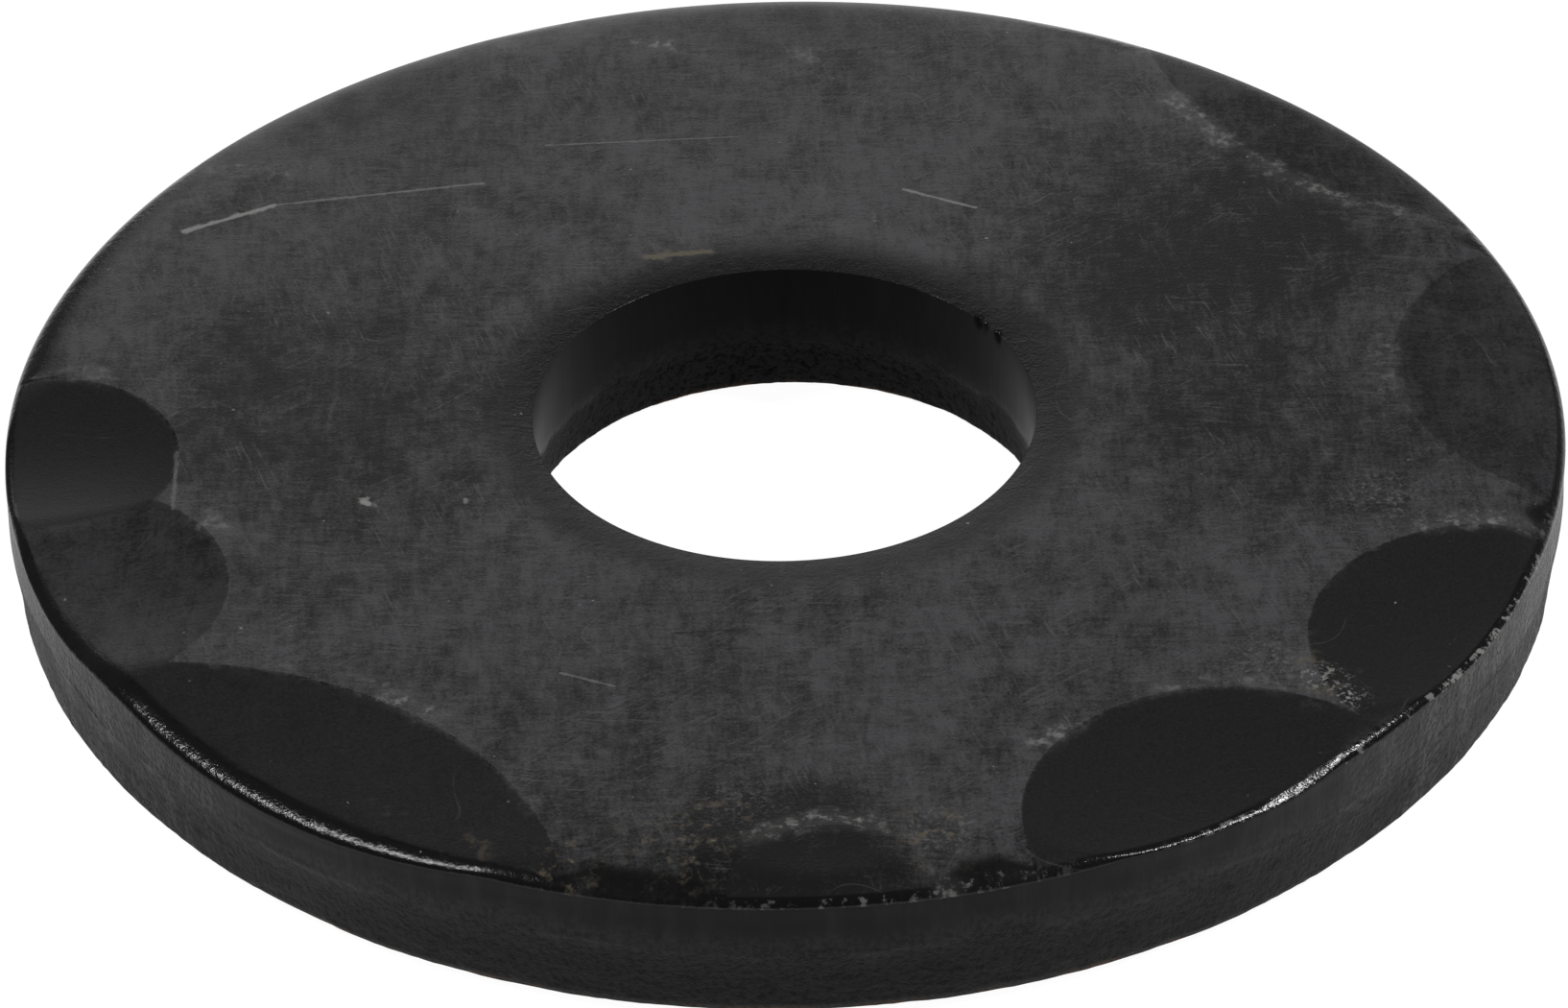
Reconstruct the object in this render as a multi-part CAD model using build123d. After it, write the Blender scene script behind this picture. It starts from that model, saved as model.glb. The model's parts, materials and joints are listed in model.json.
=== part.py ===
from build123d import *
import math
import os

# Heavy flat washer, stamped from one blank of steel plate, with a hammered upper rim.
#
# Millimetres. The bore lies on the Z axis and the lower face rests on Z = 0. The press struck
# from above, so both upper corners are rolled over. Below them each wall is a smooth burnished
# land, and below the land the metal tore and the wall leans away from the punch or the die.
# Angles round the rim are in degrees from +X, turning towards +Y.

# Overall sizes
outside_diameter = 34.0
hole_diameter = 11.0
thickness = 3.4

# Outer wall, from the rolled upper corner down to the broken lower one
rim_roll_width = 1.65
rim_roll_height = 0.45
rim_land_height = 1.05
rim_tear_taper = 0.22
rim_foot_width = 0.24
rim_foot_height = 0.3

# Wall of the hole, in the same order
hole_roll_width = 1.6
hole_roll_height = 0.08
hole_land_height = 1.9
hole_tear_taper = 0.25
hole_foot_width = 0.12
hole_foot_height = 0.12

# Dents left by blows on the upper rim: where each is centred, half the angle that it takes of
# the rim, how far it reaches in from the rim, and how deep it is at the rim
dents = [
    {"at": 3.5, "half_angle": 16.5, "reach": 3.6, "depth": 0.20},
    {"at": 41.5, "half_angle": 18.5, "reach": 2.5, "depth": 0.10},
    {"at": 88.5, "half_angle": 18.5, "reach": 2.7, "depth": 0.10},
    {"at": 127.5, "half_angle": 14.5, "reach": 3.1, "depth": 0.10},
    {"at": 184.5, "half_angle": 10.5, "reach": 3.8, "depth": 0.40},
    {"at": 201.0, "half_angle": 12.5, "reach": 4.0, "depth": 0.42},
    {"at": 232.5, "half_angle": 21.5, "reach": 3.7, "depth": 0.50},
    {"at": 272.5, "half_angle": 7.5, "reach": 2.2, "depth": 0.10},
    {"at": 301.5, "half_angle": 14.5, "reach": 4.1, "depth": 0.46},
    {"at": 329.5, "half_angle": 13.5, "reach": 3.7, "depth": 0.44},
]

outside_radius = outside_diameter / 2
hole_radius = hole_diameter / 2


def washer_section():
    """Half section of the washer, from the bore to the rim, in the XZ plane."""
    rim_land_top = thickness - rim_roll_height
    hole_land_top = thickness - hole_roll_height
    rim_roll_start = (outside_radius - rim_roll_width, thickness)
    rim_land_start = (outside_radius, rim_land_top)
    rim_land_end = (outside_radius, rim_land_top - rim_land_height)
    rim_tear_radius = outside_radius - rim_tear_taper
    rim_tear_end = (rim_tear_radius, rim_foot_height)
    rim_foot = (rim_tear_radius - rim_foot_width, 0)
    hole_tear_radius = hole_radius + hole_tear_taper
    hole_foot = (hole_tear_radius + hole_foot_width, 0)
    hole_tear_end = (hole_tear_radius, hole_foot_height)
    hole_land_end = (hole_radius, hole_land_top - hole_land_height)
    hole_land_start = (hole_radius, hole_land_top)
    hole_roll_start = (hole_radius + hole_roll_width, thickness)

    with BuildSketch(Plane.XZ) as section:
        with BuildLine():
            Line(hole_roll_start, rim_roll_start)
            rim_roll_centre = (rim_roll_start[0], rim_land_top)
            EllipticalCenterArc(rim_roll_centre, rim_roll_width, rim_roll_height, 0, arc_size=90)
            Polyline(rim_land_start, rim_land_end, rim_tear_end, rim_foot, hole_foot)
            Polyline(hole_foot, hole_tear_end, hole_land_end, hole_land_start)
            hole_roll_centre = (hole_roll_start[0], hole_land_top)
            EllipticalCenterArc(hole_roll_centre, hole_roll_width, hole_roll_height, 90, arc_size=90)
        make_face()
    return section.sketch


def hammer_ball(at, half_angle, reach, depth):
    """Sphere whose underside leaves one dent in the upper rim.

    The sphere meets the upper face in a circle. That circle touches the dent's innermost
    point and crosses the rim half the dent's angle to each side of its middle.
    """
    inner_radius = outside_radius - reach
    rim_crossing = outside_radius * math.cos(math.radians(half_angle))
    centre_radius = (outside_radius**2 - inner_radius**2) / (2 * (rim_crossing - inner_radius))
    circle_radius = centre_radius - inner_radius
    chord_squared = circle_radius**2 - (centre_radius - outside_radius) ** 2
    ball_radius = chord_squared / (2 * depth)
    centre_height = thickness + math.sqrt(ball_radius**2 - circle_radius**2)
    # The ball's poles are turned to lie along the rim, clear of the metal that it cuts.
    ball = Rot(X=90) * Sphere(ball_radius)
    return Rot(Z=at) * Pos(centre_radius, 0, centre_height) * ball


def make_washer():
    """The stamped blank with every dent cut into its upper rim."""
    washer = revolve(washer_section(), Axis.Z)
    for dent in dents:
        washer = washer - hammer_ball(**dent)
    return washer.solid()


os.makedirs("parts", exist_ok=True)
export_step(make_washer(), "parts/washer.step")
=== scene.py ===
import json
import math

import bmesh
import bpy
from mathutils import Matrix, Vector, noise


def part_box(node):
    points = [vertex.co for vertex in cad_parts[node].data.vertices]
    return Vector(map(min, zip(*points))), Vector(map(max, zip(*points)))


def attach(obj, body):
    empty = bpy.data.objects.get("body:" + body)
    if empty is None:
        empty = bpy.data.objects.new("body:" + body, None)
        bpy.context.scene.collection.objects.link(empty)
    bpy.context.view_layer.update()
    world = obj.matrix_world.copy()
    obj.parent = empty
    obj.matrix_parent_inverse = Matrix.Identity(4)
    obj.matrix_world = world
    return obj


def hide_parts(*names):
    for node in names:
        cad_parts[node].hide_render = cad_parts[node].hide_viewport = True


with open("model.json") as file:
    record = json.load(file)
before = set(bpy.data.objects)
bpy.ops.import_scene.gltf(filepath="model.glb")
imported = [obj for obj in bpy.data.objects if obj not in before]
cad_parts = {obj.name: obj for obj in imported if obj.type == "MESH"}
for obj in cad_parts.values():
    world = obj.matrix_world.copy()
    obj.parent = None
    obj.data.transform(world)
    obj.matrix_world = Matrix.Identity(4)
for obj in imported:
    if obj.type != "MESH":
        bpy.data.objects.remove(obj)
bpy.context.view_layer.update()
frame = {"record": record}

# A thick flat washer of blackened steel on a white table. Lengths are in metres.

washerLow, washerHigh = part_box("washer")
rimRadius = min(washerHigh.x, washerHigh.y, -washerLow.x, -washerLow.y)
topHeight = washerHigh.z
boreMount = next(mount for mount in frame["record"]["mounts"] if mount["name"] == "bore")
holeRadius = boreMount["dims"]["r_mm"] / 1000
holeLandHeight = boreMount["dims"]["length_mm"] / 1000

stamping = {
    "segments": 576,            # steps round the washer
    "rimRollWidth": 0.00165,    # upper outer corner, pulled down by the die
    "rimRollHeight": 0.00045,
    "rimLandHeight": 0.00105,   # smooth band cut by the die, before the metal tore
    "rimTearTaper": 0.00015,
    "rimFootWidth": 0.00024,    # broken lower corner
    "rimFootHeight": 0.0003,
    "holeRollWidth": 0.0016,    # the same round the hole
    "holeRollHeight": 0.00008,
    "holeTearTaper": 0.00018,
    "holeFootWidth": 0.00012,
    "holeFootHeight": 0.00012,
    "lipWidth": 0.00022,        # rounded edge between a dent and the outer wall
    "lipSlope": 0.42,           # height of the lip as a share of its width
    "plainBorder": 0.0005,      # width of the rim's last rings where there is no dent
}

# Blows on the upper rim: the angle of each from +X, half its angle along the rim, how far it
# reaches in, how deep it is at the rim, and how smooth and black the blow left the steel
dents = [
    {"at": 3.5, "halfAngle": 16.5, "reach": 0.0036, "depth": 0.00020, "polish": 0.5},
    {"at": 41.5, "halfAngle": 18.5, "reach": 0.0025, "depth": 0.00010, "polish": 0.35},
    {"at": 88.5, "halfAngle": 18.5, "reach": 0.0027, "depth": 0.00010, "polish": 0.25},
    {"at": 127.5, "halfAngle": 14.5, "reach": 0.0031, "depth": 0.00010, "polish": 0.25},
    {"at": 184.5, "halfAngle": 10.5, "reach": 0.0038, "depth": 0.00040, "polish": 1.0},
    {"at": 201.0, "halfAngle": 12.5, "reach": 0.0040, "depth": 0.00042, "polish": 0.5},
    {"at": 232.5, "halfAngle": 21.5, "reach": 0.0037, "depth": 0.00050, "polish": 0.9},
    {"at": 272.5, "halfAngle": 7.5, "reach": 0.0022, "depth": 0.00010, "polish": 0.28},
    {"at": 301.5, "halfAngle": 14.5, "reach": 0.0041, "depth": 0.00046, "polish": 1.0},
    {"at": 329.5, "halfAngle": 13.5, "reach": 0.0037, "depth": 0.00044, "polish": 1.0},
]

unevenness = {
    "borderWander": 0.00002,    # how far the dents' borders stray from true arcs
    "borderScale": 700.0,       # noise scales are per metre
    "tearWander": 0.00014,      # how far the line above the torn wall strays
    "tearScale": 300.0,
    "tornDepth": 0.000028,      # roughness of a torn wall
    "tornScale": 4200.0,
    "tornWave": 0.000056,       # broader dips in a torn wall
    "tornStart": 0.5,           # share of its height in which a torn wall grows rough
    "wallWave": 0.00002,        # dips in the smooth band of the rim
    "wallScale": 500.0,
    "landStretch": 0.2,         # these run down the wall
    "landStart": 0.3,           # share of its height in which that band grows uneven
    "faceWave": 0.000012,       # dips in the upper face
    "faceScale": 160.0,
    "dentBlend": 0.00020,       # how far apart two dents still melt together
    "rimBlend": 0.00004,        # the same for a dent and the roll, and where this begins and is full
    "rimBlendRange": (-0.0022, -0.0008),
}

# Where the rounded edge between the dents and the wall is wider: the angle, how far round this
# spreads, its width, and how far its roll gives way to a flat slope
wideLips = [
    {"at": 224.0, "spread": 38.0, "width": 0.00075, "flat": 0.0},
    {"at": 309.0, "spread": 8.0, "width": 0.00022, "flat": 0.85},
]
flatSlope = 0.80
lipSpread = (0.1, 1.0)    # where a wider edge begins to narrow and ends, as shares of its spread

# Nicks in the upper edge of the hole: the angle of each, half its width, and how far it cuts in
nicks = [
    {"at": 38.0, "halfWidth": 0.00010, "cut": 0.00009},
    {"at": 35.5, "halfWidth": 0.00006, "cut": 0.00005},
    {"at": 30.5, "halfWidth": 0.00009, "cut": 0.00008},
]
nickDepth = 0.00025          # how far down the wall of the hole a nick reaches
nickShoulder = (0.3, 1.3)    # where a nick begins to rise and ends, as shares of its half width

# How far the black of the edges reaches, in metres, and how dark it is, as shares
# On the rim's rolled edge this black is painted shade, deepening the dark band the edge shows; at the hole
# the colour darkens towards its edge.
darkEdges = {
    "atHole": 0.75,                     # how dark the very edge of the hole is
    "besideDents": 0.0009,              # width of the dark strip on the plain rim and in a dent
    "insideDents": 0.0001,
    "dentRange": (-0.0008, 0.0002),     # distance inside a border where one gives way to the other
    "lipPart": 0.7,                     # part of the rounded edge's width that joins this strip
    "fullPart": 0.4,                    # part of the rounded edge's width that is wholly dark
    "belowRim": 0.00025,                # how far the dark reaches down the wall
}
lacunarity = 2.0
leastWidth = 1e-9         # keeps a width above nothing where something is divided by it
mergeDistance = 1e-8
softBorder = -0.05        # a ring's edge that ends farther outside a dent, in millimetres, isn't creased


def clamp01(value):
    return max(0.0, min(1.0, value))


def smoothStep(low, high, value):
    share = clamp01((value - low) / (high - low))
    return share * share * (3 - 2 * share)


def mix(first, second, share):
    return first + (second - first) * share


def polar(radius, angle, height):
    return Vector((radius * math.cos(angle), radius * math.sin(angle), height))


def noiseAt(place, dimension=0.8, octaves=4):
    return noise.fractal(place, dimension, lacunarity, octaves)


def unevenBy(place, scale, amount):
    # a fall from 0 to this amount that changes smoothly from place to place
    return amount * clamp01(0.5 + 0.5 * noiseAt(place * scale, octaves=3))


def quarterFall(into, width, height):
    # fall of a rolled corner this far into its width: a quarter of an ellipse
    across = clamp01(into / width)
    return height * (1 - math.sqrt(1 - across * across))


def ballOf(dent):
    # the ball that left a dent, and the circle in which it met the upper face
    innerRadius = rimRadius - dent["reach"]
    crossing = rimRadius * math.cos(math.radians(dent["halfAngle"]))
    centreRadius = (rimRadius**2 - innerRadius**2) / (2 * (crossing - innerRadius))
    circleRadius = centreRadius - innerRadius
    chordSquared = circleRadius**2 - (centreRadius - rimRadius) ** 2
    ballRadius = chordSquared / (2 * dent["depth"])
    return {
        "angle": math.radians(dent["at"]),
        "centreRadius": centreRadius,
        "centre": polar(centreRadius, math.radians(dent["at"]), 0),
        "circleRadius": circleRadius,
        "ballRadius": ballRadius,
        "centreRise": math.sqrt(ballRadius**2 - circleRadius**2),
        "polish": dent["polish"],
    }


balls = [ballOf(dent) for dent in dents]


def borderAt(angle):
    # the radius where the dents begin along a line from the axis
    nearest = rimRadius - stamping["plainBorder"]
    for ball in balls:
        turn = abs((angle - ball["angle"] + math.pi) % (2 * math.pi) - math.pi)
        aside = ball["centreRadius"] * math.sin(turn)
        if turn < math.pi / 2 and aside < ball["circleRadius"]:
            along = ball["centreRadius"] * math.cos(turn)
            nearest = min(nearest, along - math.sqrt(ball["circleRadius"] ** 2 - aside**2))
    return nearest


def wanderAt(angle):
    place = polar(rimRadius, angle, 0) * unevenness["borderScale"]
    return unevenness["borderWander"] * noiseAt(place, dimension=0.9)


def softMax(first, second, blend):
    gap = max(blend - abs(first - second), 0.0) / blend
    return max(first, second) + gap * gap * blend / 4


def dentAt(radius, angle):
    # how deep the dents are here, how far inside a border this is, and how smooth the steel is
    place = polar(radius, angle, 0)
    depth = 0.0
    inside = -rimRadius
    polish = 0.0
    for ball in balls:
        away = (place - ball["centre"]).length
        inside = max(inside, ball["circleRadius"] - away)
        if away < ball["circleRadius"]:
            ballDepth = math.sqrt(ball["ballRadius"] ** 2 - away**2) - ball["centreRise"]
            polish = ball["polish"] if ballDepth > depth else polish
            shared = min(unevenness["dentBlend"], depth, ballDepth) + leastWidth
            depth = softMax(depth, ballDepth, shared)
    return depth, inside, polish


def turnFrom(angle, degrees):
    return abs((angle - math.radians(degrees) + math.pi) % (2 * math.pi) - math.pi)


def lipAt(angle):
    # the width of the edge between a dent and the wall, and how flat it is
    width = stamping["lipWidth"]
    flat = 0.0
    for lip in wideLips:
        share = 1 - smoothStep(*lipSpread, turnFrom(angle, lip["at"]) / math.radians(lip["spread"]))
        width = max(width, mix(stamping["lipWidth"], lip["width"], share))
        flat = max(flat, lip["flat"] * share)
    return width, flat


def topFall(radius, angle):
    # how far the upper surface lies below the blank's top, and the dent that is here
    depth, inside, polish = dentAt(radius - wanderAt(angle), angle)
    fromRim = radius - rimRadius
    roll = quarterFall(
        fromRim + stamping["rimRollWidth"], stamping["rimRollWidth"], stamping["rimRollHeight"]
    )
    lipWidth, flat = lipAt(angle)
    lip = quarterFall(fromRim + lipWidth, lipWidth, lipWidth * stamping["lipSlope"])
    lip = mix(lip, flatSlope * max(fromRim + lipWidth, 0), flat)
    blend = unevenness["rimBlend"] * smoothStep(*unevenness["rimBlendRange"], fromRim) + leastWidth
    return softMax(roll, depth + lip, blend), inside, polish


def surfacePoint(radius, height, **marks):
    # a point of the surface, with what the materials need to know there
    point = {"radius": radius, "height": height, "inside": -rimRadius, "polish": 0.0}
    point.update({"edge": 0.0, "belowTear": -rimRadius})
    point.update(marks)
    return point


def nickAt(angle):
    # how far the nicks cut into the edge of the hole at this angle
    cut = 0.0
    for nick in nicks:
        aside = turnFrom(angle, nick["at"]) * holeRadius / nick["halfWidth"]
        cut = max(cut, nick["cut"] * (1 - smoothStep(*nickShoulder, aside)))
    return cut


def holeRollRing(share, angle):
    away = 1 - math.cos(share * math.pi / 2)
    fall = stamping["holeRollHeight"] * (1 - away) ** 2
    nick = nickAt(angle)
    outward = max(nick - away * stamping["holeRollWidth"], 0)
    radius = holeRadius + away * stamping["holeRollWidth"] + outward
    edge = darkEdges["atHole"] * (1 - away)
    return surfacePoint(radius, topHeight - fall - outward, edge=edge)


def upperRing(radius, angle):
    fall, inside, polish = topFall(radius, angle)
    wave = unevenBy(polar(radius, angle, 0), unevenness["faceScale"], unevenness["faceWave"])
    lipWidth = lipAt(angle)[0]
    dentShare = smoothStep(*darkEdges["dentRange"], inside)
    strip = mix(darkEdges["besideDents"], darkEdges["insideDents"], dentShare)
    darkWidth = darkEdges["lipPart"] * lipWidth + strip
    edge = smoothStep(-darkWidth, -darkEdges["fullPart"] * lipWidth, radius - rimRadius)
    return surfacePoint(radius, topHeight - fall - wave, inside=inside, polish=polish, edge=edge)


def faceRing(share, angle):
    start = holeRadius + stamping["holeRollWidth"]
    point = upperRing(mix(start, borderAt(angle) + wanderAt(angle), share), angle)
    point["inside"] = min(point["inside"], 0)
    return point


def dentRing(share, angle):
    start = borderAt(angle) + wanderAt(angle)
    return upperRing(mix(start, rimRadius, math.sin(share * math.pi / 2)), angle)


def tearLine(angle, radius, height):
    place = polar(radius, angle, height) * unevenness["tearScale"]
    return height + unevenness["tearWander"] * noiseAt(place)


def rimTear(angle):
    height = topHeight - stamping["rimRollHeight"] - stamping["rimLandHeight"]
    return tearLine(angle, rimRadius, height)


def holeTear(angle):
    height = topHeight - stamping["holeRollHeight"] - holeLandHeight
    return tearLine(angle, holeRadius, height)


def rimLandRing(share, angle):
    top = upperRing(rimRadius, angle)["height"]
    height = mix(top, rimTear(angle), share)
    place = polar(rimRadius, angle, height * unevenness["landStretch"])
    started = smoothStep(0, unevenness["landStart"], share)
    dip = unevenBy(place, unevenness["wallScale"], unevenness["wallWave"]) * started
    edge = 1 - smoothStep(0, darkEdges["belowRim"], top - height)
    return surfacePoint(rimRadius - dip, height, belowTear=rimTear(angle) - height, edge=edge)


def tornDip(radius, angle, height, share):
    place = polar(radius, angle, height)
    grain = unevenBy(place, unevenness["tornScale"], unevenness["tornDepth"])
    wave = unevenBy(place, unevenness["wallScale"], unevenness["tornWave"])
    return (grain + wave) * smoothStep(0, unevenness["tornStart"], share)


def rimTornRing(share, angle):
    height = mix(rimTear(angle), stamping["rimFootHeight"], share)
    inward = stamping["rimTearTaper"] * share + tornDip(rimRadius, angle, height, share)
    return surfacePoint(rimRadius - inward, height, belowTear=rimTear(angle) - height)


def rimCornerRing(share, angle):
    start = rimTornRing(1, angle)
    inward = stamping["rimFootWidth"] * math.sin(share * math.pi / 2)
    height = start["height"] * math.cos(share * math.pi / 2)
    return surfacePoint(start["radius"] - inward, height, belowTear=rimTear(angle) - height)


def undersideRing(share, angle):
    rimFoot = rimCornerRing(1, angle)["radius"]
    holeFoot = holeCornerRing(0, angle)["radius"]
    return surfacePoint(mix(rimFoot, holeFoot, share), 0)


def holeCornerRing(share, angle):
    end = holeTornRing(0, angle)
    outward = stamping["holeFootWidth"] * math.cos(share * math.pi / 2)
    height = end["height"] * math.sin(share * math.pi / 2)
    return surfacePoint(end["radius"] + outward, height, belowTear=holeTear(angle) - height)


def holeTornRing(share, angle):
    height = mix(stamping["holeFootHeight"], holeTear(angle), share)
    outward = stamping["holeTearTaper"] * (1 - share) + tornDip(holeRadius, angle, height, 1 - share)
    return surfacePoint(holeRadius + outward, height, belowTear=holeTear(angle) - height)


def holeLandRing(share, angle):
    top = topHeight - stamping["holeRollHeight"]
    height = mix(holeTear(angle), top, math.sin(share * math.pi / 2))
    outward = nickAt(angle) * (1 - smoothStep(0, nickDepth, top - height))
    height = min(height, top - nickAt(angle))
    return surfacePoint(holeRadius + outward, height, belowTear=holeTear(angle) - height)


# Each stretch of the washer's surface: how its rings are placed, how many it has, its material
stretches = [
    {"place": holeCornerRing, "rings": 3, "material": "holeWall"},
    {"place": holeTornRing, "rings": 14, "material": "holeWall"},
    {"place": holeLandRing, "rings": 14, "material": "holeWall"},
    {"place": holeRollRing, "rings": 16, "material": "scaledFace"},
    {"place": faceRing, "rings": 34, "material": "scaledFace"},
    {"place": dentRing, "rings": 38, "material": "scaledFace"},
    {"place": rimLandRing, "rings": 14, "material": "shearedWall"},
    {"place": rimTornRing, "rings": 26, "material": "shearedWall"},
    {"place": rimCornerRing, "rings": 3, "material": "shearedWall"},
    {"place": undersideRing, "rings": 10, "material": "dullUnderside"},
]
materialOrder = ["scaledFace", "hammeredDent", "shearedWall", "dullUnderside", "holeWall"]

# What each point tells the materials, and its scale there: lengths go in millimetres
marks = {"inside": 1000, "belowTear": 1000, "polish": 1, "edge": 1}
smoothDent = {"leastPolish": 0.3, "mostEdge": 0.5}    # which faces take the steel of a smooth dent


def layRing(verts, layers, place, share):
    for vert in verts:
        angle = math.atan2(vert.co.y, vert.co.x)
        point = place(share, angle)
        vert.co = polar(point["radius"], angle, point["height"])
        for name, scale in marks.items():
            vert[layers[name]] = point[name] * scale


def isDent(face, layers):
    # true for a face of a dent that the blow left smooth and black
    corners = len(face.verts)
    mean = {name: sum(vert[layer] for vert in face.verts) / corners for name, layer in layers.items()}
    isBlack = mean["polish"] > smoothDent["leastPolish"] and mean["edge"] < smoothDent["mostEdge"]
    return mean["inside"] > 0 and isBlack


def makeWasherMesh():
    shell = bmesh.new()
    layers = {name: shell.verts.layers.float.new(name) for name in marks}
    bmesh.ops.create_circle(shell, segments=stamping["segments"], radius=holeRadius)
    layRing(shell.verts, layers, stretches[0]["place"], 0)
    edges = list(shell.edges)
    for stretch in stretches:
        for step in range(stretch["rings"]):
            grown = bmesh.ops.extrude_edge_only(shell, edges=edges)["geom"]
            ring = {item for item in grown if isinstance(item, bmesh.types.BMVert)}
            grownEdges = [item for item in grown if isinstance(item, bmesh.types.BMEdge)]
            edges = [edge for edge in grownEdges if ring.issuperset(edge.verts)]
            layRing(ring, layers, stretch["place"], (step + 1) / stretch["rings"])
            for face in {face for edge in edges for face in edge.link_faces}:
                steel = "hammeredDent" if isDent(face, layers) else stretch["material"]
                face.material_index = materialOrder.index(steel)
        if stretch["place"] is holeLandRing:
            holeEdges = edges
        if stretch["place"] is faceRing:
            dentEdges = edges
    bmesh.ops.remove_doubles(shell, verts=shell.verts, dist=mergeDistance)
    bmesh.ops.recalc_face_normals(shell, faces=shell.faces)
    for face in shell.faces:
        face.smooth = True
    for edge in holeEdges:
        edge.smooth = False
    for edge in dentEdges:
        edge.smooth = min(vert[layers["inside"]] for vert in edge.verts) < softBorder
    mesh = bpy.data.meshes.new("washer")
    shell.to_mesh(mesh)
    shell.free()
    return mesh


def addNode(tree, kind, inputs, **settings):
    # a shader node with its settings made and its sockets set or linked
    node = tree.nodes.new("ShaderNode" + kind)
    for name, value in settings.items():
        setattr(node, name, value)
    for name, value in inputs.items():
        if isinstance(value, bpy.types.NodeSocket):
            tree.links.new(value, node.inputs[name])
        else:
            node.inputs[name].default_value = value
    return node


def mathOf(tree, operation, first, second=0.0):
    return addNode(tree, "Math", {0: first, 1: second}, operation=operation).outputs[0]


def fade(tree, value, low, high, start=0.0, end=1.0):
    # the value turned into a smooth share: start below low, end above high
    sockets = {"Value": value, "From Min": low, "From Max": high, "To Min": start, "To Max": end}
    return addNode(tree, "MapRange", sockets, interpolation_type="SMOOTHSTEP").outputs["Result"]


def product(tree, first, *others):
    for other in others:
        first = mathOf(tree, "MULTIPLY", first, other)
    return first


def added(tree, value, weight, total):
    sockets = {0: value, 1: weight, 2: total}
    return addNode(tree, "Math", sockets, operation="MULTIPLY_ADD").outputs[0]


def strongest(tree, masks):
    strength = masks[0]
    for mask in masks[1:]:
        strength = mathOf(tree, "MAXIMUM", strength, mask)
    return strength


def noiseOf(tree, place, layer):
    # a layer of noise, stretched along the axes where the layer says so
    if "stretch" in layer:
        sockets = {0: place, 1: layer["stretch"]}
        place = addNode(tree, "VectorMath", sockets, operation="MULTIPLY").outputs["Vector"]
    sockets = {"Vector": place, "Scale": layer["scale"], "Detail": layer["detail"]}
    sockets["Roughness"] = layer["roughness"]
    return addNode(tree, "TexNoise", sockets).outputs["Fac"]


def patchesOf(tree, place, layer, strength=1.0):
    # patches of this strength where the layer's noise is above its range
    return fade(tree, noiseOf(tree, place, layer), *layer["range"], 0.0, strength)


def tinted(tree, share, under, over):
    node = addNode(tree, "Mix", {0: share}, data_type="RGBA")
    # inputs 6 and 7 and output 2 are the colours of a mixing node
    for index, colour in ((6, under), (7, over)):
        if isinstance(colour, bpy.types.NodeSocket):
            tree.links.new(colour, node.inputs[index])
        else:
            node.inputs[index].default_value = (*colour, 1)
    return node.outputs[2]


def markOf(tree, name):
    return addNode(tree, "Attribute", {}, attribute_name=name).outputs["Fac"]


def startSteel(name, specular):
    material = bpy.data.materials.new(name)
    material.use_nodes = True
    tree = material.node_tree
    shader = tree.nodes["Principled BSDF"]
    shader.inputs["Specular IOR Level"].default_value = specular
    place = addNode(tree, "TexCoord", {}).outputs["Object"]
    return material, tree, shader, place


def finishSteel(tree, shader, colour, roughness, height, depth):
    bump = addNode(tree, "Bump", {"Strength": 1.0, "Distance": depth, "Height": height})
    for name, socket in (("Base Color", colour), ("Roughness", roughness), ("Normal", bump.outputs[0])):
        tree.links.new(socket, shader.inputs[name])


faceFinish = {
    "black": (0.0030, 0.0030, 0.0032),      # clean scale
    "grey": (0.042, 0.042, 0.0445),         # rubbed and dusty scale
    "wornAndSheen": (0.16, 0.16, 0.155),            # scratches and bare steel, and the painted highlight on the dents' borders and the rim's edge
    "residue": (0.070, 0.060, 0.044),       # dried oil and dirt
    "roughness": 0.34,
    "edgeRoughness": 0.17,
    "edgeShare": 0.1,       # how much of its grey a dark edge keeps; on the rim this darkening is painted shade
    "dentShare": 0.05,      # how grey a smooth dent is, and how much of that is fine grain
    "dentGrain": 0.32,
    "dentStray": 0.2,       # how far a dent's smooth steel strays from its border, in millimetres
    "hairStrength": 0.12,
    "speckStrength": 0.8,
    "borderOffset": 0.2,    # how far outside a dent its bright border lies, in millimetres
    "borderStrength": (0.1, 0.8),
    "grainDepth": 0.000006,
    "streakRelief": 0.6,    # relief of the streaks and of the ragged edges beside the grain's
    "edgeRelief": 3.0,
}
faceSpecular = {"scaledFace": 0.22, "hammeredDent": 0.09}

# Where each mark of the face begins and where it is full
faceRanges = {
    "haze": (0.0, 2.0),
    "smooth": (0.06, 0.16),         # distance inside a dent, in millimetres
    "blackEdge": (0.05, 0.6),
    "glossyEdge": (0.3, 0.8),
    "hair": (0.0, 0.004),
    "border": (0.05, 0.5),          # distance from the middle of a bright border, in millimetres
    "raggedBorder": (0.48, 0.68),
    "rim": (0.8, 0.98),
    "nearDents": (-10.0, -3.0),     # distance inside a dent, in millimetres
    "raggedRim": (0.52, 0.62),
}

# The layers of noise that make the cloudy grey of the scale: scale per metre, octaves, and how
# much each adds
hazeStart = -3.9
hazeLayers = {
    "clouds": {"stretch": (1300, 780, 1300), "scale": 1, "detail": 9, "roughness": 0.74, "weight": 3.4},
    "broad": {"scale": 130, "detail": 3, "roughness": 0.55, "weight": 1.6},
    "streaks": {"stretch": (2000, 8000, 2000), "scale": 1, "detail": 4, "roughness": 0.7, "weight": 1.7},
    "across": {"stretch": (7000, 1100, 2000), "scale": 1, "detail": 4, "roughness": 0.7, "weight": 1.5},
    "grain": {"scale": 15000, "detail": 2, "roughness": 0.55, "weight": 1.7},
}

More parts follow.
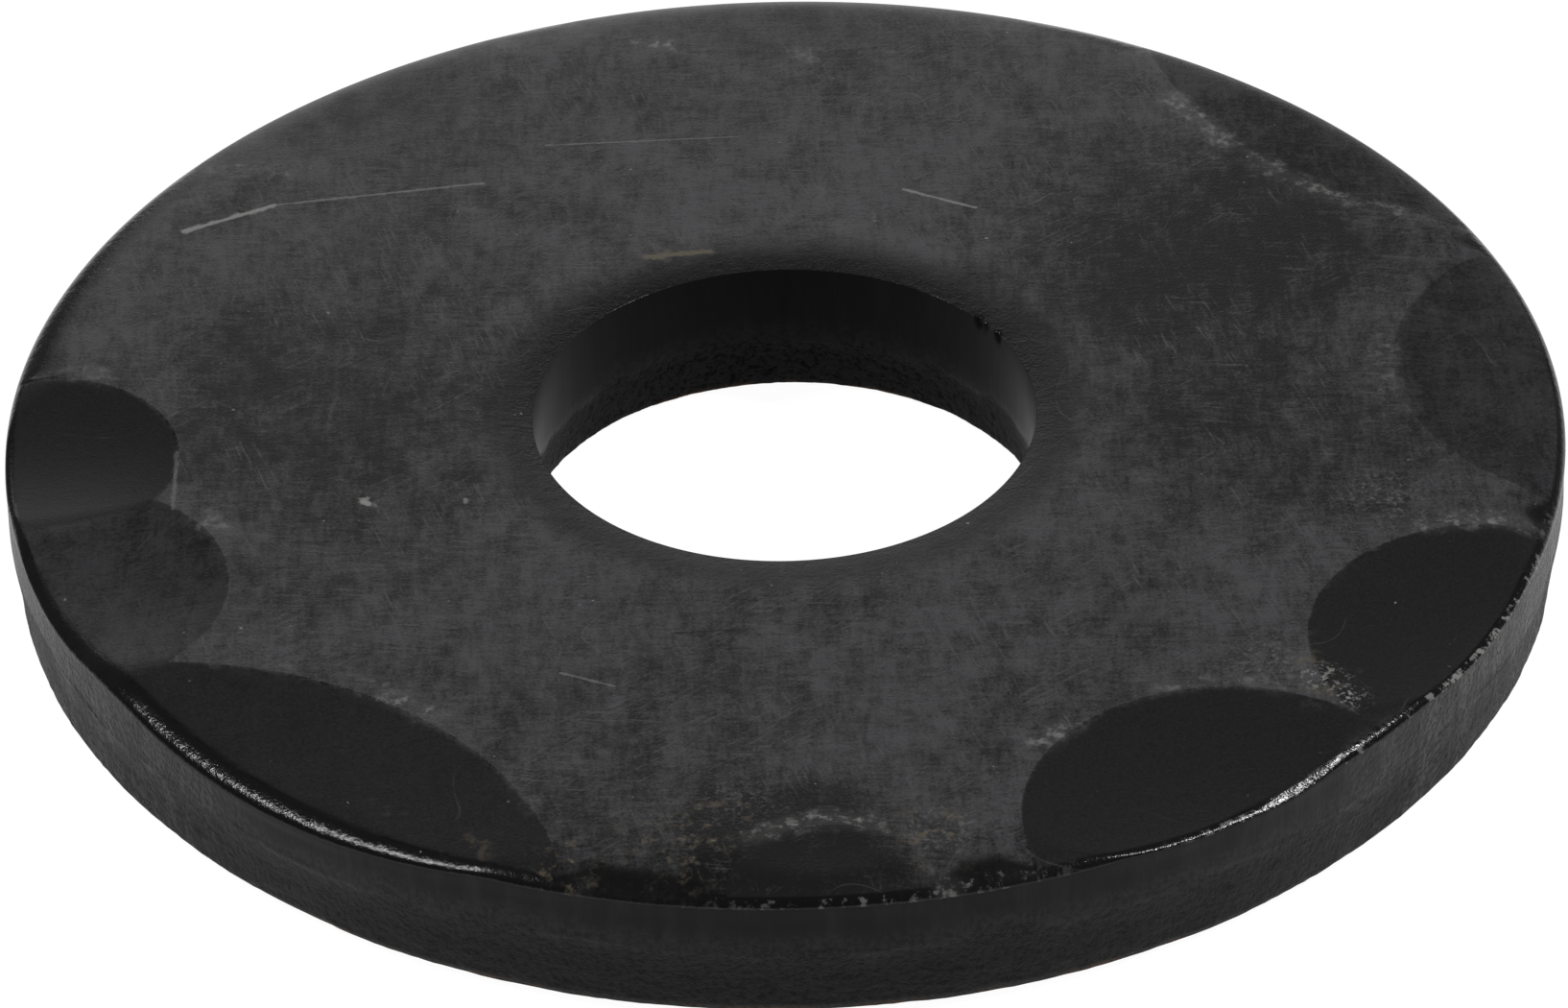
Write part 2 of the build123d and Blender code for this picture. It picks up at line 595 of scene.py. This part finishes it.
# Short rubs across the face: the ways they lie, in degrees, the size of one in metres, and how
# much they add to the grey
scuffs = {"turns": (8, 72, -38), "length": 0.0011, "width": 0.00007, "weight": 0.9}
rubLayer = {
    "stretch": (1 / scuffs["length"], 1 / scuffs["width"], 1 / scuffs["length"]),
    "scale": 1,
    "detail": 2,
    "roughness": 0.55,
    "range": (0.56, 0.74),
}
rubPatches = {"scale": 380, "detail": 2, "roughness": 0.55, "range": (0.45, 0.6)}

# Layers of noise that break up the marks, with the range in which a patch begins and is full
markLayers = {
    "ragged": {"scale": 3500, "detail": 4, "roughness": 0.7},
    "hair": {"scale": 260, "detail": 1, "roughness": 0.55},
    "hairPatches": {"scale": 700, "detail": 2, "roughness": 0.55, "range": (0.5, 0.65)},
    "specks": {"scale": 5200, "detail": 1, "roughness": 0.55, "range": (0.79, 0.85)},
    "borderPatches": {"scale": 320, "detail": 2, "roughness": 0.55, "range": (0.48, 0.66)},
    "chips": {"scale": 8000, "detail": 3, "roughness": 0.7, "range": (0.53, 0.62)},
    "flecks": {"scale": 2600, "detail": 5, "roughness": 0.7, "range": (0.52, 0.66)},
}
noiseMiddle = 0.5

# Scratches across the face, in metres: start, end, half width and strength
scratches = [
    {"start": (-0.0134, 0.0074), "end": (-0.0114, 0.0084), "halfWidth": 0.00009, "strength": 0.9},
    {"start": (-0.0114, 0.0084), "end": (-0.0067, 0.0091), "halfWidth": 0.00005, "strength": 0.45},
    {"start": (0.0028, 0.0085), "end": (0.0044, 0.0077), "halfWidth": 0.00005, "strength": 0.7},
    {"start": (-0.0053, 0.0106), "end": (-0.0009, 0.0108), "halfWidth": 0.00003, "strength": 0.4},
    {"start": (-0.0048, -0.0094), "end": (-0.0037, -0.0099), "halfWidth": 0.00004, "strength": 0.4},
    {"start": (-0.0132, -0.0011), "end": (-0.0132, -0.0032), "halfWidth": 0.00006, "strength": 0.3},
    {"start": (-0.0090, -0.0032), "end": (-0.0091, -0.0031), "halfWidth": 0.00013, "strength": 1.0},
    {"start": (-0.0069, -0.0031), "end": (-0.0069, -0.0032), "halfWidth": 0.00007, "strength": 0.6},
]

# Scratches that show dark
darkScratches = [
    {"start": (-0.0024, -0.0081), "end": (-0.0009, -0.0080), "halfWidth": 0.00004, "strength": 0.9},
]

# Blotches where the face's grey is darker: place, how far each spreads, and its strength
blotches = [
    {"place": (0.0095, 0.0058), "spread": 0.0065, "strength": 0.9},
    {"place": (-0.0110, 0.0010), "spread": 0.0060, "strength": 0.5},
    {"place": (0.0110, -0.0005), "spread": 0.0075, "strength": 0.6},
    {"place": (0.0070, -0.0090), "spread": 0.0060, "strength": 0.2},
    {"place": (0.0000, -0.0160), "spread": 0.0038, "strength": 1.3},
]

# Bare ragged stretches of the rim, in the same terms; they also serve as a painted highlight on the rim's
# edge
rimSheenAndWear = [
    {"place": (0.0148, -0.0085), "spread": 0.0060, "strength": 1.0},
    {"place": (0.0105, -0.0135), "spread": 0.0040, "strength": 0.9},
    {"place": (0.0020, -0.0168), "spread": 0.0050, "strength": 0.5},
]

# Chips in the scale, where bare steel shows
chips = [
    {"place": (0.0112, -0.0101), "spread": 0.0008, "strength": 1.0},
    {"place": (0.0117, -0.0107), "spread": 0.0006, "strength": 1.0},
    {"place": (0.0100, -0.0095), "spread": 0.0014, "strength": 0.25},
    {"place": (0.0030, -0.0150), "spread": 0.0014, "strength": 0.25},
    {"place": (-0.0012, -0.0140), "spread": 0.0013, "strength": 0.2},
    {"place": (0.0128, -0.0037), "spread": 0.0013, "strength": 0.3},
]

# A streak of dirt beside the hole
dirtStreaks = [
    {"start": (-0.0030, 0.0060), "end": (-0.0016, 0.0062), "halfWidth": 0.00012, "strength": 1.0},
]

# Dried oil and dirt on the rim and beside the hole
residues = [
    {"place": (-0.0086, -0.0137), "spread": 0.0009, "strength": 0.4},
    {"place": (-0.0066, -0.0150), "spread": 0.0009, "strength": 0.5},
    {"place": (-0.0047, -0.0158), "spread": 0.0013, "strength": 0.9},
    {"place": (-0.0024, -0.0152), "spread": 0.0020, "strength": 0.7},
    {"place": (-0.0012, -0.0140), "spread": 0.0010, "strength": 0.7},
    {"place": (0.0029, -0.0152), "spread": 0.0014, "strength": 0.8},
    {"place": (-0.0023, 0.0063), "spread": 0.0009, "strength": 0.7},
    {"place": (0.0110, -0.0100), "spread": 0.0014, "strength": 0.6},
]

# How ragged noise narrows and widens a scratch, and the parts of its half width where it begins
# to fade and is gone
scratchShape = {"range": (0.3, 0.7), "narrowed": 1.8, "widened": 0.6, "core": 0.4, "skirt": 1.3}
spotCore = 0.2            # part of a spot's spread that is at full strength


def scratchMask(tree, place, ragged, mark):
    # 1 on a straight scratch, falling to 0 past its ragged sides
    start = Vector((*mark["start"], topHeight))
    run = Vector((*mark["end"], topHeight)) - start
    away = addNode(tree, "VectorMath", {0: place, 1: start}, operation="SUBTRACT").outputs["Vector"]
    sockets = {0: away, 1: run / run.length_squared}
    along = addNode(tree, "VectorMath", sockets, operation="DOT_PRODUCT").outputs["Value"]
    held = addNode(tree, "Clamp", {"Value": along}).outputs["Result"]
    foot = addNode(tree, "VectorMath", {0: run, "Scale": held}, operation="SCALE").outputs["Vector"]
    gap = addNode(tree, "VectorMath", {0: away, 1: foot}, operation="DISTANCE").outputs["Value"]
    width = fade(tree, ragged, *scratchShape["range"], scratchShape["narrowed"], scratchShape["widened"])
    core = mark["halfWidth"] * scratchShape["core"]
    skirt = mark["halfWidth"] * scratchShape["skirt"]
    return fade(tree, product(tree, gap, width), core, skirt, mark["strength"], 0.0)


def spotMask(tree, place, spot):
    centre = Vector((*spot["place"], topHeight))
    gap = addNode(tree, "VectorMath", {0: place, 1: centre}, operation="DISTANCE").outputs["Value"]
    return fade(tree, gap, spot["spread"] * spotCore, spot["spread"], spot["strength"], 0.0)


def scratchesOf(tree, place, ragged, scratchList):
    return strongest(tree, [scratchMask(tree, place, ragged, mark) for mark in scratchList])


def spotsOf(tree, place, spotList):
    return strongest(tree, [spotMask(tree, place, spot) for spot in spotList])


def scuffsAt(tree, place, turn):
    # short thin rubs that all lie one way, in patches
    sockets = {"Vector": place, "Angle": math.radians(turn)}
    turned = addNode(tree, "VectorRotate", sockets, rotation_type="Z_AXIS").outputs["Vector"]
    return product(tree, patchesOf(tree, turned, rubLayer), patchesOf(tree, turned, rubPatches))


def faceHaze(tree, place):
    # the cloudy grey of the scale, from broad patches down to rubs and single grains
    layers = {name: noiseOf(tree, place, layer) for name, layer in hazeLayers.items()}
    haze = hazeStart
    for name, layer in layers.items():
        haze = added(tree, layer, hazeLayers[name]["weight"], haze)
    for turn in scuffs["turns"]:
        haze = added(tree, scuffsAt(tree, place, turn), scuffs["weight"], haze)
    return haze, layers


def greyShare(tree, place, haze, grain, near):
    # how grey the scale is: mottled on the face, even in a smooth dent, nearly black on an edge, which on
    # the rim is painted shade
    mottled = mathOf(tree, "SUBTRACT", haze, spotsOf(tree, place, blotches))
    mottled = fade(tree, mottled, *faceRanges["haze"])
    smooth = added(tree, grain, faceFinish["dentGrain"], faceFinish["dentShare"])
    strayed = added(tree, near["ragged"], faceFinish["dentStray"], near["inside"])
    polish = product(tree, near["polish"], fade(tree, strayed, *faceRanges["smooth"]))
    # inputs 2 and 3 and output 0 are the plain values of a mixing node
    share = addNode(tree, "Mix", {0: polish, 2: mottled, 3: smooth}).outputs[0]
    # painted shade: the grey gives way to near black on the rim's rolled edges, and darkens towards the
    # hole's edge
    kept = fade(tree, near["edge"], *faceRanges["blackEdge"], 1.0, faceFinish["edgeShare"])
    return product(tree, share, kept)


def hairMask(tree, place):
    # thin curved lines that come and go
    hair = mathOf(tree, "SUBTRACT", noiseOf(tree, place, markLayers["hair"]), noiseMiddle)
    hair = mathOf(tree, "ABSOLUTE", hair)
    lines = fade(tree, hair, *faceRanges["hair"], faceFinish["hairStrength"], 0.0)
    return product(tree, lines, patchesOf(tree, place, markLayers["hairPatches"]))


def borderMask(tree, place, near):
    # the ragged bright line just outside the dents: painted highlight where the border's ridge catches the
    # light, partly worn steel
    away = mathOf(tree, "ABSOLUTE", mathOf(tree, "ADD", near["inside"], faceFinish["borderOffset"]))
    line = fade(tree, away, *faceRanges["border"], 1.0, 0.0)
    broken = fade(tree, near["ragged"], *faceRanges["raggedBorder"], *faceFinish["borderStrength"])
    return product(tree, line, patchesOf(tree, place, markLayers["borderPatches"]), broken)


def rimMask(tree, place, near):
    # bare steel on the rim, near the dents, lightened as a painted highlight of the rim's edge
    onRim = fade(tree, near["edge"], *faceRanges["rim"])
    nearDents = fade(tree, near["inside"], *faceRanges["nearDents"])
    sheenAndWearSpots = spotsOf(tree, place, rimSheenAndWear)
    return product(tree, onRim, nearDents, sheenAndWearSpots, fade(tree, near["ragged"], *faceRanges["raggedRim"]))


def wornAndSheenMask(tree, place, near):
    # everywhere that the steel is scratched, chipped or rubbed bright, and the painted highlight on the
    # dents' borders and the rim's edge
    scored = scratchesOf(tree, place, near["ragged"], scratches)
    specks = patchesOf(tree, place, markLayers["specks"], faceFinish["speckStrength"])
    chipped = product(tree, spotsOf(tree, place, chips), patchesOf(tree, place, markLayers["chips"]))
    border = borderMask(tree, place, near)
    rubbedAndSheen = rimMask(tree, place, near)
    return strongest(tree, [scored, hairMask(tree, place), specks, border, rubbedAndSheen, chipped])


def dirtMask(tree, place, ragged):
    flecks = patchesOf(tree, place, markLayers["flecks"])
    fleckedSpots = product(tree, spotsOf(tree, place, residues), flecks)
    return mathOf(tree, "MAXIMUM", fleckedSpots, scratchesOf(tree, place, ragged, dirtStreaks))


def makeUpperSteel(name):
    material, tree, shader, place = startSteel(name, faceSpecular[name])
    haze, layers = faceHaze(tree, place)
    near = {mark: markOf(tree, mark) for mark in ("inside", "polish", "edge")}
    near["ragged"] = noiseOf(tree, place, markLayers["ragged"])
    share = greyShare(tree, place, haze, layers["grain"], near)
    colour = tinted(tree, share, faceFinish["black"], faceFinish["grey"])
    colour = tinted(tree, wornAndSheenMask(tree, place, near), colour, faceFinish["wornAndSheen"])
    dark = scratchesOf(tree, place, near["ragged"], darkScratches)
    colour = tinted(tree, dark, colour, faceFinish["black"])
    colour = tinted(tree, dirtMask(tree, place, near["ragged"]), colour, faceFinish["residue"])
    roughnesses = (faceFinish["roughness"], faceFinish["edgeRoughness"])
    roughness = fade(tree, near["edge"], *faceRanges["glossyEdge"], *roughnesses)
    height = added(tree, layers["streaks"], faceFinish["streakRelief"], layers["grain"])
    raggedEdge = product(tree, near["ragged"], near["edge"])
    height = added(tree, raggedEdge, faceFinish["edgeRelief"], height)
    finishSteel(tree, shader, colour, roughness, height, faceFinish["grainDepth"])
    return material


# Steel of the walls of the rim and of the hole
wallFinish = {
    "land": (0.0050, 0.0050, 0.0051),       # smooth band cut by the press
    "torn": (0.0060, 0.0060, 0.0060),
    "band": (0.018, 0.018, 0.018),          # lighter steel along the tear line
    "rubbedAndSheen": (0.070, 0.070, 0.068),        # painted reflection: lighter steel at the left and right ends of the wall
    "pit": (0.001, 0.001, 0.001),
    "rust": (0.045, 0.020, 0.008),
    "rustHeight": 0.00022,
    "roughness": (0.3, 0.5),                # on the smooth band and on the torn wall
    "tearStray": 0.9,       # how far the torn steel strays from the tear line, in millimetres
    "bandLeft": 0.3,        # how much of the lighter band is left low on the wall
    "streakShare": 0.4,
    "sheenShare": 0.9,
    "tornDepth": 0.00014,
    "relief": (0.55, 1.4),  # how deep the grain is in the middle and at the ends
    "scoringRelief": 0.03,
}

# How each wall differs: its reflection, its colours beside those above, and how strong its
# lighter band and streaks are
walls = {
    "shearedWall": {"specular": 0.11, "lightness": 1.0, "band": 1.0},
    "holeWall": {"specular": 0.02, "lightness": 1.25, "band": 0.3},
}

# Layers of noise on a wall. Those with a small stretch along Z run down it
wallLayers = {
    "scoring": {"stretch": (1, 1, 0.04), "scale": 9000, "detail": 3, "roughness": 0.55},
    "patches": {"scale": 700, "detail": 5, "roughness": 0.65},
    "grains": {"scale": 7500, "detail": 4, "roughness": 0.7},
    "scraped": {"stretch": (1, 1, 0.2), "scale": 2200, "detail": 5, "roughness": 0.65},
}

# Where each mark of a wall begins and where it is full
wallRanges = {
    "torn": (0.3, 0.75),            # these three in millimetres below the tear line
    "bandStart": (-0.15, 0.35),
    "bandEnd": (0.35, 0.9),
    "streaks": (0.42, 0.68),
    "bandGrains": (0.35, 0.65),
    "rust": (0.45, 0.6),
    "ends": (0.0105, 0.0150),       # metres to the left or right of the axis
    "rubbedAndSheen": (0.4, 0.65),
    "sheenGrains": (0.4, 0.6),
    "pits": (0.40, 0.50),
}


def wallColour(tree, setup, axes, layers, areas):
    # the steel of a wall from its smooth land to the torn steel, the painted reflection at its ends, the
    # rust and the pits
    shades = {
        key: tuple(part * setup["lightness"] for part in wallFinish[key])
        for key in ("land", "torn", "band", "rubbedAndSheen")
    }
    streakShare = wallFinish["streakShare"] * setup["band"]
    streaky = fade(tree, layers["scraped"], *wallRanges["streaks"], 0.0, streakShare)
    colour = tinted(tree, streaky, shades["land"], shades["band"])
    colour = tinted(tree, areas["torn"], colour, shades["torn"])
    grainy = product(tree, areas["band"], fade(tree, layers["grains"], *wallRanges["bandGrains"]))
    colour = tinted(tree, grainy, colour, shades["band"])
    low = fade(tree, axes["Z"], 0.0, wallFinish["rustHeight"], 1.0, 0.0)
    rust = product(tree, low, fade(tree, layers["patches"], *wallRanges["rust"]))
    colour = tinted(tree, rust, colour, wallFinish["rust"])
    # painted reflection: the wall's left and right ends are lightened in granular patches
    rubbedAndSheen = fade(tree, layers["scraped"], *wallRanges["rubbedAndSheen"], 0.0, wallFinish["sheenShare"])
    sheenGrains = fade(tree, layers["grains"], *wallRanges["sheenGrains"])
    colour = tinted(tree, product(tree, rubbedAndSheen, areas["ends"], sheenGrains), colour, shades["rubbedAndSheen"])
    pits = fade(tree, layers["grains"], *wallRanges["pits"], 1.0, 0.0)
    return tinted(tree, product(tree, areas["rough"], pits), colour, wallFinish["pit"])


def makeWall(name):
    # a wall cut by the press: smooth and scored above the tear line, torn and granular below it
    setup = walls[name]
    material, tree, shader, place = startSteel(name, setup["specular"])
    layers = {key: noiseOf(tree, place, layer) for key, layer in wallLayers.items()}
    axes = addNode(tree, "SeparateXYZ", {0: place}).outputs
    strayed = added(tree, layers["patches"], wallFinish["tearStray"], markOf(tree, "belowTear"))
    bandEnd = fade(
        tree, strayed, *wallRanges["bandEnd"], setup["band"], setup["band"] * wallFinish["bandLeft"]
    )
    areas = {
        "torn": fade(tree, strayed, *wallRanges["torn"]),
        "band": product(tree, fade(tree, strayed, *wallRanges["bandStart"]), bandEnd),
        "ends": fade(tree, mathOf(tree, "ABSOLUTE", axes["X"]), *wallRanges["ends"]),
    }
    areas["rough"] = mathOf(tree, "MAXIMUM", areas["torn"], areas["ends"])
    colour = wallColour(tree, setup, axes, layers, areas)
    roughness = fade(tree, areas["torn"], 0.0, 1.0, *wallFinish["roughness"])
    reliefShare = product(tree, areas["rough"], fade(tree, areas["ends"], 0.0, 1.0, *wallFinish["relief"]))
    relief = product(tree, mathOf(tree, "SUBTRACT", layers["grains"], noiseMiddle), reliefShare)
    height = added(tree, layers["scoring"], wallFinish["scoringRelief"], relief)
    finishSteel(tree, shader, colour, roughness, height, wallFinish["tornDepth"])
    return material


undersideFinish = {
    "specular": 0.3,
    "dark": (0.006, 0.006, 0.0062),
    "light": (0.045, 0.044, 0.044),
    "hazeRange": (-0.9, 1.6),
    "roughRange": (0.0, 0.6),
    "roughness": (0.35, 0.5),
}


def makeDullUnderside():
    material, tree, shader, place = startSteel("dullUnderside", undersideFinish["specular"])
    haze, layers = faceHaze(tree, place)
    share = fade(tree, haze, *undersideFinish["hazeRange"])
    colour = tinted(tree, share, undersideFinish["dark"], undersideFinish["light"])
    roughness = fade(tree, share, *undersideFinish["roughRange"], *undersideFinish["roughness"])
    finishSteel(tree, shader, colour, roughness, layers["grain"], faceFinish["grainDepth"])
    return material


def makeWasher():
    mesh = makeWasherMesh()
    steels = {"dullUnderside": makeDullUnderside()}
    steels.update({name: makeUpperSteel(name) for name in faceSpecular})
    steels.update({name: makeWall(name) for name in walls})
    for name in materialOrder:
        mesh.materials.append(steels[name])
    washer = bpy.data.objects.new("washerBody", mesh)
    bpy.context.collection.objects.link(washer)
    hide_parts("washer")
    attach(washer, "root")


cameraSetup = {
    "elevation": 35.22,     # degrees above the table
    "distance": 0.1981,     # from the middle of the washer's upper face
    "lens": 208.6,          # millimetres, like the sensor's width
    "sensorWidth": 36.0,
    "nearest": 0.01,        # nothing closer than this is drawn
    "roll": -1.22,          # degrees
    "aimBelow": 0.00207,    # the camera points this far below the face's middle, in the picture
    "aimLeft": 0.00005,
}


def makeCamera():
    elevation = math.radians(cameraSetup["elevation"])
    outward = Vector((0, -math.cos(elevation), math.sin(elevation)))
    upward = Vector((0, math.sin(elevation), math.cos(elevation)))
    faceCentre = Vector((0, 0, topHeight))
    data = bpy.data.cameras.new("camera")
    data.lens = cameraSetup["lens"]
    data.sensor_width = cameraSetup["sensorWidth"]
    data.clip_start = cameraSetup["nearest"]
    camera = bpy.data.objects.new("camera", data)
    camera.location = faceCentre + outward * cameraSetup["distance"]
    aside = Vector((cameraSetup["aimLeft"], 0, 0))
    aim = faceCentre - upward * cameraSetup["aimBelow"] - aside - camera.location
    turn = aim.to_track_quat("-Z", "Y").to_matrix().to_4x4()
    roll = turn.Rotation(math.radians(cameraSetup["roll"]), 4, "Z")
    camera.rotation_euler = (turn @ roll).to_euler()
    bpy.context.collection.objects.link(camera)
    bpy.context.scene.camera = camera


# Softboxes round the washer: azimuth from +X, elevation, distance, size and radiance
softboxes = {
    "leftBox": {"azimuth": 185, "elevation": 52, "width": 0.04, "height": 0.10, "radiance": 88},
    "rightBox": {"azimuth": 0, "elevation": 50, "width": 0.04, "height": 0.06, "radiance": 260},
    "backCard": {"azimuth": 95, "elevation": 20, "width": 0.20, "height": 0.30, "radiance": 0.80},
}
softboxDistance = 0.5


def makeSoftbox(name, box):
    direction = polar(math.cos(math.radians(box["elevation"])), math.radians(box["azimuth"]), 0)
    direction.z = math.sin(math.radians(box["elevation"]))
    data = bpy.data.lights.new(name, "AREA")
    data.shape = "RECTANGLE"
    data.size = box["width"]
    data.size_y = box["height"]
    data.energy = box["radiance"] * math.pi * box["width"] * box["height"]
    light = bpy.data.objects.new(name, data)
    light.location = direction * softboxDistance
    light.rotation_euler = direction.to_track_quat("Z", "Y").to_euler()
    light.visible_camera = False
    bpy.context.collection.objects.link(light)


tableSetup = {
    "size": 1.5,
    "base": (0.08, 0.08, 0.08, 1),
    "roughness": 0.9,
    "glow": 0.97,       # the table shines of itself, so that the ground is plain white
    "gap": 0.00002,     # keeps the table just clear of the washer's lower face
}
white = (1, 1, 1, 1)


def makeTable():
    floor = bmesh.new()
    bmesh.ops.create_grid(floor, x_segments=1, y_segments=1, size=tableSetup["size"])
    mesh = bpy.data.meshes.new("table")
    floor.to_mesh(mesh)
    floor.free()
    material = bpy.data.materials.new("whiteTable")
    material.use_nodes = True
    shader = material.node_tree.nodes["Principled BSDF"]
    shader.inputs["Base Color"].default_value = tableSetup["base"]
    shader.inputs["Roughness"].default_value = tableSetup["roughness"]
    shader.inputs["Specular IOR Level"].default_value = 0.0
    shader.inputs["Emission Color"].default_value = white
    shader.inputs["Emission Strength"].default_value = tableSetup["glow"]
    mesh.materials.append(material)
    table = bpy.data.objects.new("table", mesh)
    table.location.z = -tableSetup["gap"]
    bpy.context.collection.objects.link(table)


roomRadiance = 0.15


def makeRoom():
    world = bpy.data.worlds.new("studio")
    world.use_nodes = True
    world.node_tree.nodes["Background"].inputs["Color"].default_value = white
    world.node_tree.nodes["Background"].inputs["Strength"].default_value = roomRadiance
    bpy.context.scene.world = world
    bpy.context.scene.view_settings.view_transform = "Standard"


makeCamera()
for boxName, boxSetup in softboxes.items():
    makeSoftbox(boxName, boxSetup)
makeTable()
makeRoom()
print("camera, lights and table are set")
makeWasher()
print("washer is made")
